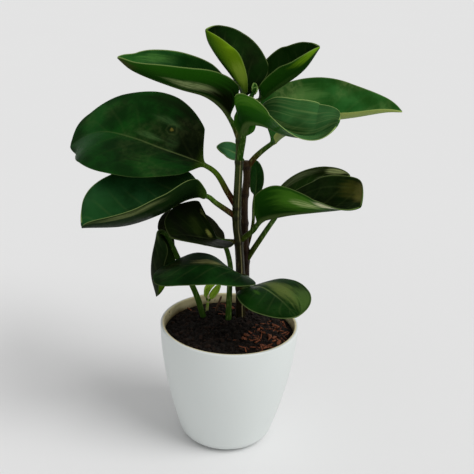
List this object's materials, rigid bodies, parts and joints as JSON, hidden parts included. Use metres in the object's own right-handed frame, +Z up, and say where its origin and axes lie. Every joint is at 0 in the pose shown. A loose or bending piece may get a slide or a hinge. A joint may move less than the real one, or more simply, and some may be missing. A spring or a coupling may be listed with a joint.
{
  "type": "potted peperomia",
  "caption": "House plant with broad, thick, folded leaves on two upright stems, growing from soil in a plain round white pot that widens towards its rim.",
  "frame": {"origin": "centre of the pot's flat underside, where it rests", "axes": "+Z up along the pot's axis; -Y is the front, which faces the viewer of the picture; +X to the viewer's right"},
  "size_m": [0.232, 0.1387, 0.3014],
  "materials": {
    "pot_white": "satin",
    "soil": "matte",
    "stem_olive": "satin",
    "stem_red": "satin",
    "leaf_deep": "satin",
    "leaf_fresh": "satin",
    "sprout": "satin",
    "twig": "matte"
  },
  "bodies": {
    "root": {"pot": "pot_white", "soil": "soil", "stem_main": "stem_olive", "stem_side": "stem_red", "leaf_crown_left": "leaf_fresh", "leaf_crown_right": "leaf_fresh", "leaf_upper_left": "leaf_fresh", "leaf_upper_right": "leaf_deep", "leaf_front_folded": "leaf_fresh", "leaf_large_left": "leaf_deep", "leaf_middle_left": "leaf_deep", "leaf_lower_left": "leaf_deep", "leaf_low_front": "leaf_deep", "leaf_low_right": "leaf_deep", "leaf_right_near": "leaf_fresh", "leaf_right_far": "leaf_deep", "leaf_small_back": "leaf_deep", "leaf_small_mid": "leaf_fresh", "leaf_drooping": "leaf_fresh", "leaf_shaded": "leaf_deep", "bud_crown": "leaf_fresh", "shoot_soil": "sprout", "twig_dry": "twig"}
  },
  "joints": []
}
